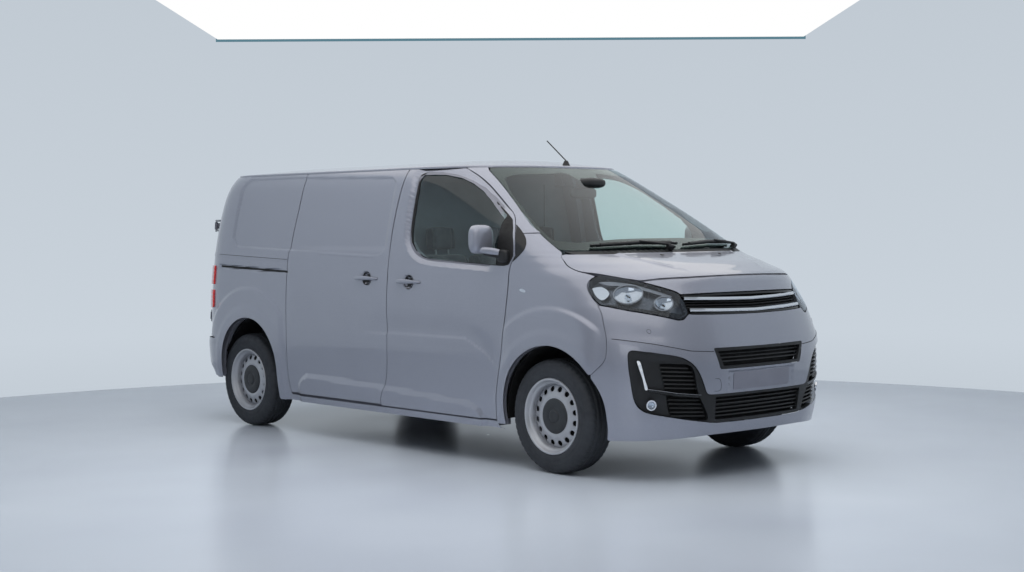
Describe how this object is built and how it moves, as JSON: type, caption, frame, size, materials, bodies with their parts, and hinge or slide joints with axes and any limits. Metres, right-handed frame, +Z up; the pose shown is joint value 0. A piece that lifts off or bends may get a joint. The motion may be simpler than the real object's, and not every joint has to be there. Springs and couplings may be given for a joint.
{
  "type": "panel van",
  "caption": "Panel van with a hollow cab and load space, opening doors and bonnet, steered front wheels and turning road wheels.",
  "frame": {"origin": "ground level under the middle of the body", "axes": "+X forwards, +Y to the vehicle's left, +Z up"},
  "size_m": [4.9587, 2.2032, 2.0632],
  "materials": {
    "body_paint": "gloss metallic",
    "black_plastic": "matte",
    "chassis_paint": "satin",
    "bulkhead_steel": "satin",
    "tinted_glass": "polished",
    "trim_plastic": "matte",
    "seat_fabric": "woven",
    "bright_trim": "polished",
    "clear_lens": "polished",
    "engine_iron": "rough",
    "knuckle_iron": "rough",
    "wheel_steel": "satin",
    "tyre_rubber": "matte",
    "red_lens": "polished",
    "exhaust_steel": "brushed",
    "plate_white": "satin"
  },
  "bodies": {
    "body_shell": {"floor_pan": "chassis_paint", "firewall": "chassis_paint", "bulkhead": "bulkhead_steel", "side_frame_right": "body_paint", "side_frame_left": "body_paint", "wheelhouses_front": "black_plastic", "wheelhouses_rear": "chassis_paint", "roof": "body_paint", "windscreen_pillars": "body_paint", "windscreen": "tinted_glass", "scuttle": "black_plastic", "dashboard": "trim_plastic", "seat_frames": "chassis_paint", "driver_seat": "seat_fabric", "passenger_bench": "seat_fabric", "wings": "body_paint", "front_bumper": "body_paint", "grilles": "black_plastic", "grille_bars": "bright_trim", "headlights": "clear_lens", "engine": "engine_iron", "front_subframe": "chassis_paint", "struts": "chassis_paint", "rear_axle": "chassis_paint", "sliding_door": "body_paint", "door_hinges": "black_plastic", "rear_bumper": "body_paint", "tail_lights": "red_lens", "fuel_tank": "black_plastic", "exhaust": "exhaust_steel", "number_plates": "plate_white", "antenna": "black_plastic"},
    "wheel_front_left": {"wheel_front_left": "wheel_steel", "tyre_front_left": "tyre_rubber"},
    "wheel_front_right": {"wheel_front_right": "wheel_steel", "tyre_front_right": "tyre_rubber"},
    "wheel_rear_left": {"wheel_rear_left": "wheel_steel", "tyre_rear_left": "tyre_rubber"},
    "wheel_rear_right": {"wheel_rear_right": "wheel_steel", "tyre_rear_right": "tyre_rubber"},
    "knuckle_left": {"knuckle_left": "knuckle_iron"},
    "knuckle_right": {"knuckle_right": "knuckle_iron"},
    "front_door_left": {"front_door_left": "body_paint", "door_glass_left": "tinted_glass", "mirror_left": "body_paint"},
    "front_door_right": {"front_door_right": "body_paint", "door_glass_right": "tinted_glass", "mirror_right": "body_paint"},
    "rear_door_left": {"rear_door_left": "body_paint"},
    "rear_door_right": {"rear_door_right": "body_paint"},
    "bonnet": {"bonnet": "body_paint"},
    "fuel_flap": {"fuel_flap": "body_paint"},
    "steering_wheel": {"steering_wheel": "trim_plastic"}
  },
  "joints": [
    {"name": "steer_left", "type": "hinge", "parent": "body_shell", "child": "knuckle_left", "pos_m": [1.5985, 0.74, 0.345], "axis": [0, 0, 1], "range_deg": [-35, 35]},
    {"name": "steer_right", "type": "hinge", "parent": "body_shell", "child": "knuckle_right", "pos_m": [1.5985, -0.74, 0.345], "axis": [0, 0, 1], "range_deg": [-35, 35]},
    {"name": "steering_turn", "type": "hinge", "parent": "body_shell", "child": "steering_wheel", "pos_m": [0.8535, 0.4, 1.165], "axis": [-0.8829, 0, 0.4695], "range_deg": [-525, 525]},
    {"name": "wheel_front_left_spin", "type": "hinge", "parent": "knuckle_left", "child": "wheel_front_left", "pos_m": [1.5985, 0.8135, 0.345], "axis": [0, 1, 0], "continuous": true},
    {"name": "wheel_front_right_spin", "type": "hinge", "parent": "knuckle_right", "child": "wheel_front_right", "pos_m": [1.5985, -0.8135, 0.345], "axis": [0, 1, 0], "continuous": true},
    {"name": "wheel_rear_left_spin", "type": "hinge", "parent": "body_shell", "child": "wheel_rear_left", "pos_m": [-1.6765, 0.8135, 0.345], "axis": [0, 1, 0], "continuous": true},
    {"name": "wheel_rear_right_spin", "type": "hinge", "parent": "body_shell", "child": "wheel_rear_right", "pos_m": [-1.6765, -0.8135, 0.345], "axis": [0, 1, 0], "continuous": true},
    {"name": "front_door_left_hinge", "type": "hinge", "parent": "body_shell", "child": "front_door_left", "pos_m": [1.1585, 0.95, 0.86], "axis": [0, 0, -1], "range_deg": [0, 70]},
    {"name": "front_door_right_hinge", "type": "hinge", "parent": "body_shell", "child": "front_door_right", "pos_m": [1.1585, -0.95, 0.86], "axis": [0, 0, 1], "range_deg": [0, 70]},
    {"name": "rear_door_left_hinge", "type": "hinge", "parent": "body_shell", "child": "rear_door_left", "pos_m": [-2.3, 0.836, 0.8], "axis": [0, 0.0698, -0.9976], "range_deg": [0, 180]},
    {"name": "rear_door_right_hinge", "type": "hinge", "parent": "body_shell", "child": "rear_door_right", "pos_m": [-2.3, -0.836, 0.8], "axis": [0, 0.0698, 0.9976], "range_deg": [0, 180]},
    {"name": "bonnet_hinge", "type": "hinge", "parent": "body_shell", "child": "bonnet", "pos_m": [1.6045, 0, 1.294], "axis": [0, -1, 0], "range_deg": [0, 50]},
    {"name": "fuel_flap_hinge", "type": "hinge", "parent": "body_shell", "child": "fuel_flap", "pos_m": [-0.0975, 0.956, 0.97], "axis": [0, 0, -1], "range_deg": [0, 90]}
  ],
  "couplings": [
    {"joint": "steer_right", "follows": "steer_left", "ratio": 1},
    {"joint": "steering_turn", "follows": "steer_left", "ratio": 15}
  ]
}
